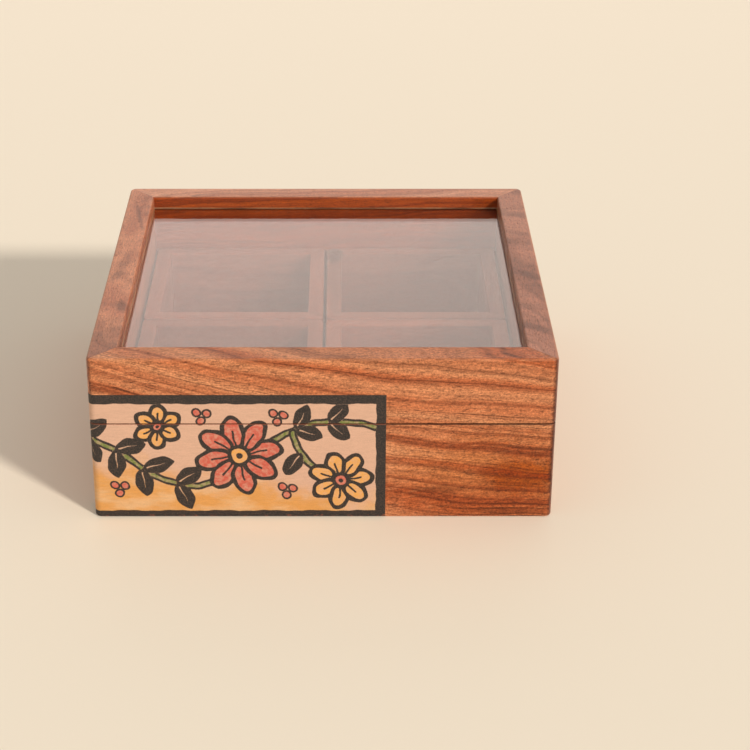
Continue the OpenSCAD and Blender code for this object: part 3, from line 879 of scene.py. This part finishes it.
# t goes once round the square, from 0 to 8, and x and y are triangle waves of it, held to -1..1.
def makeGlueBead():
    width, height, sink, behind = (glueBead[name] for name in ("width", "height", "sink", "behind"))
    t = np.linspace(0, 8, glueBead["around"], endpoint=False)[:, None]
    square = np.stack([np.clip(np.abs(t % 8 - 4) - 2, -1, 1),
                       np.clip(np.abs((t - 2) % 8 - 4) - 2, -1, 1)], axis=-1)
    slow, uneven, quick = (rate * t for rate in glueBead["rates"])
    swell = glueBead["size"] + glueBead["slowSwell"] * np.sin(slow + np.sin(uneven))
    swell = swell + glueBead["quickSwell"] * np.sin(quick + glueBead["quickStart"])
    turn = np.linspace(0, math.pi / 2, glueBead["arcPoints"])[None]
    inward = np.concatenate([width * (1 - np.cos(turn)), [[width, -behind, -behind]]], axis=1) * swell
    up = np.concatenate([height * (1 - np.sin(turn)), [[-sink, -sink, height]]], axis=1)
    up = up * np.where(up > 0, swell, 1.0)
    half = np.array([boxWidth / 2 - wallThick, boxDepth / 2 - wallThick]) / millimetre
    flat = square * (half - inward[..., None])
    points = np.concatenate([flat, (paneHigh.z / millimetre + up)[..., None]], axis=-1)
    material, tree = newMaterial("driedGlue")
    cloud = noise(tree, position(tree), *glueBead["cloud"])
    color = mixColor(tree, cloud, glueBead["pale"], glueBead["dark"])
    finishMaterial(tree, {"Base Color": color, "Roughness": glueBead["roughness"]}, cloud, glueBead["bump"])
    sheetPiece("pane_glue_bead", points, "lid", material, closed=(True, True))


makeGlueBead()
print("pieces made")


# Floor, backdrop and lights
setting = {
    "floorTone": tone(249, 234, 210), "floorSize": 8.0, "floorRoughness": 0.9,
    "keyFrom": (0.85, -0.85, 0.66), "keyPower": 2.5, "keySpread": 7.0, "keyTone": (1.0, 0.97, 0.93),
    "rearPlace": (0.0, 1.85, 0.98), "rearSize": (1.7, 1.0), "rearBrightness": 0.69,
    "rearTone": (1.0, 0.86, 0.92), "skyBrightness": 0.5,
}


def makeFloor():
    half = setting["floorSize"] / 2
    mesh = bpy.data.meshes.new("floor")
    corners = [(-half, -half, 0), (half, -half, 0), (half, half, 0), (-half, half, 0)]
    mesh.from_pydata(corners, [], [(0, 1, 2, 3)])
    floor = bpy.data.objects.new("floor", mesh)
    bpy.context.scene.collection.objects.link(floor)
    material, tree = newMaterial("paleFloor")
    finishMaterial(tree, {"Base Color": setting["floorTone"], "Roughness": setting["floorRoughness"]})
    mesh.materials.append(material)


# The camera, all reflections and what shows through the pane see a plain backdrop. Other rays get a
# dimmer white fill.
def makeSky():
    world = bpy.data.worlds.new("studio")
    bpy.context.scene.world = world
    world.use_nodes = True
    tree = world.node_tree
    tree.nodes.clear()
    rays = put(tree, "LightPath").outputs
    seen = calc(tree, "MAXIMUM", rays["Is Glossy Ray"], rays["Is Transmission Ray"])
    seen = calc(tree, "MAXIMUM", rays["Is Camera Ray"], seen)
    fill = put(tree, "Background", {"Color": (1.0, 1.0, 1.0, 1.0), "Strength": setting["skyBrightness"]})
    backdrop = put(tree, "Background", {"Color": setting["floorTone"], "Strength": 1.0})
    both = put(tree, "MixShader", {0: seen, 1: fill.outputs[0], 2: backdrop.outputs[0]})
    put(tree, "OutputWorld", {"Surface": both.outputs[0]})


# A light that looks at a place and that the camera doesn't see.
def addLight(name, kind, place, lookAt, **values):
    data = bpy.data.lights.new(name, kind)
    for key, value in values.items():
        setattr(data, key, value)
    light = bpy.data.objects.new(name, data)
    bpy.context.scene.collection.objects.link(light)
    light.location = place
    light.rotation_euler = (Vector(lookAt) - Vector(place)).to_track_quat("-Z", "Y").to_euler()
    light.visible_camera = False
    return light


# A sun from the front right, and a softbox behind the box for the pane to reflect. The softbox's power
# is its brightness times pi times its area.
def makeLights():
    middle = (0.0, 0.0, boxHeight / 2)
    key = Vector(setting["keyFrom"]).normalized()
    addLight("keyLight", "SUN", key, (0, 0, 0), energy=setting["keyPower"], color=setting["keyTone"],
             angle=math.radians(setting["keySpread"]))
    width, height = setting["rearSize"]
    power = setting["rearBrightness"] * math.pi * width * height
    addLight("rearSoftbox", "AREA", setting["rearPlace"], middle, energy=power, color=setting["rearTone"],
             shape="RECTANGLE", size=width, size_y=height)


# Camera, from the photograph's corner points: level, straight on, looking down.
photoCamera = {"place": (0.0066, -0.6838, 0.3581), "pitch": 26.565, "lens": 92.52, "sensor": 36.0,
               "shiftX": 0.0447}


def makeCamera():
    data = bpy.data.cameras.new("photoCamera")
    data.lens = photoCamera["lens"]
    data.sensor_width = photoCamera["sensor"]
    data.shift_x = photoCamera["shiftX"]
    camera = bpy.data.objects.new("photoCamera", data)
    bpy.context.scene.collection.objects.link(camera)
    camera.location = photoCamera["place"]
    camera.rotation_euler = (math.radians(90.0 - photoCamera["pitch"]), 0.0, 0.0)
    bpy.context.scene.camera = camera


makeFloor()
makeSky()
makeLights()
makeCamera()
bpy.context.scene.view_settings.view_transform = "Standard"
print("setting made")
